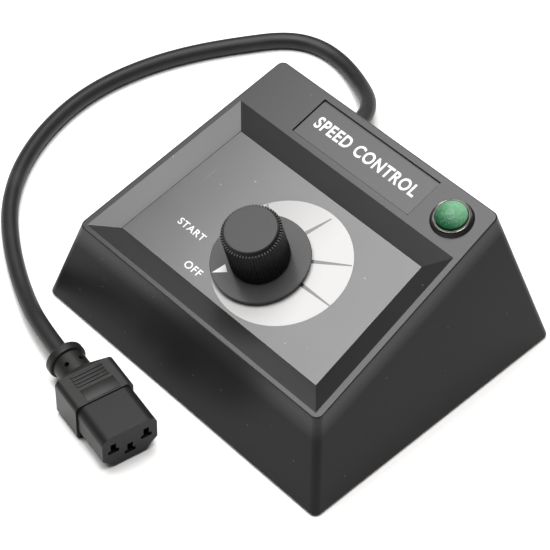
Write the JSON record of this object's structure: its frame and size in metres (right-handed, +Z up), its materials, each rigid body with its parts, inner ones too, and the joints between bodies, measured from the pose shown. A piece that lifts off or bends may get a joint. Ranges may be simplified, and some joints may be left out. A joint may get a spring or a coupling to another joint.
{
  "type": "dial speed control for a flexible-shaft tool",
  "caption": "Black wedge-shaped tabletop dial speed control with a skirted knob, green pilot lamp, rear inlet and an output cord that ends in an appliance connector.",
  "frame": {"origin": "middle of the console's base rectangle on the table, at the bottom of the feet", "axes": "+X to the user's right, +Y away from the user towards the high back, +Z up"},
  "size_m": [0.2277, 0.2263, 0.0718],
  "materials": {
    "shell_abs": "fine spark-eroded texture",
    "base_abs": "moulded",
    "foot_rubber": "matt",
    "steel_zinc": "zinc plated",
    "dial_print": "semi-gloss printed sheet",
    "name_print": "semi-gloss printed plate",
    "skirt_plastic": "smooth moulded",
    "knob_plastic": "fluted, moulded",
    "knob_cap_grey": "satin",
    "brass": "turned",
    "steel_bright": "bright",
    "phenolic": "pressed",
    "lamp_black": "moulded",
    "lens_green": "prismatic, transparent green",
    "bulb_glass": "clear",
    "board_laminate": "solder resist",
    "alloy": "extruded",
    "chip_epoxy": "moulded",
    "ferrite": "sintered",
    "copper_enamel": "enamelled wire",
    "capacitor_box": "moulded",
    "resistor_body": "lacquered",
    "terminal_green": "moulded",
    "fuse_glass": "clear",
    "inlet_black": "moulded",
    "wire_pvc": "insulated",
    "cord_pvc": "satin sheath",
    "connector_pvc": "fine texture",
    "connector_hard": "smooth moulded"
  },
  "bodies": {
    "console": {"housing": "shell_abs", "base_plate": "base_abs", "feet": "foot_rubber", "base_screws": "steel_zinc", "board_screws": "steel_zinc", "triac_screw": "steel_zinc", "inlet_screws": "steel_zinc", "inlet_nuts": "steel_zinc", "terminal_screws": "steel_zinc", "pot_washer": "steel_zinc", "pot_nut": "steel_zinc", "dial_plate": "dial_print", "name_plate": "name_print", "pot_bushing": "brass", "inlet_pins": "brass", "fuse_clips": "brass", "pot_terminals": "brass", "switch_terminals": "brass", "lamp_ring": "steel_bright", "pot_can": "steel_bright", "lamp_leads": "steel_bright", "connector_contacts": "steel_bright", "pot_track": "phenolic", "switch_case": "phenolic", "lamp_bezel": "lamp_black", "lamp_nut": "lamp_black", "lamp_lens": "lens_green", "neon_bulb": "bulb_glass", "circuit_board": "board_laminate", "heat_sink": "alloy", "triac": "chip_epoxy", "choke_core": "ferrite", "choke_winding": "copper_enamel", "capacitors": "capacitor_box", "resistors": "resistor_body", "terminal_block": "terminal_green", "fuse": "fuse_glass", "inlet_shell": "inlet_black", "output_leads": "wire_pvc", "inlet_wires": "wire_pvc", "lamp_wires": "wire_pvc", "pot_wires": "wire_pvc", "switch_wires": "wire_pvc", "cord": "cord_pvc", "cord_gland": "cord_pvc", "connector_body": "connector_pvc", "connector_nose": "connector_hard"},
    "dial": {"knob": "knob_plastic", "knob_skirt": "skirt_plastic", "knob_cap": "knob_cap_grey", "knob_insert": "brass", "knob_set_screw": "steel_zinc", "pot_shaft": "steel_bright", "pot_wiper": "phenolic"}
  },
  "joints": [
    {"name": "dial_turn", "type": "hinge", "parent": "console", "child": "dial", "pos_m": [0.0002, -0.02172, 0.04671], "axis": [0, 0.2756, -0.9613], "range_deg": [0, 300]}
  ]
}
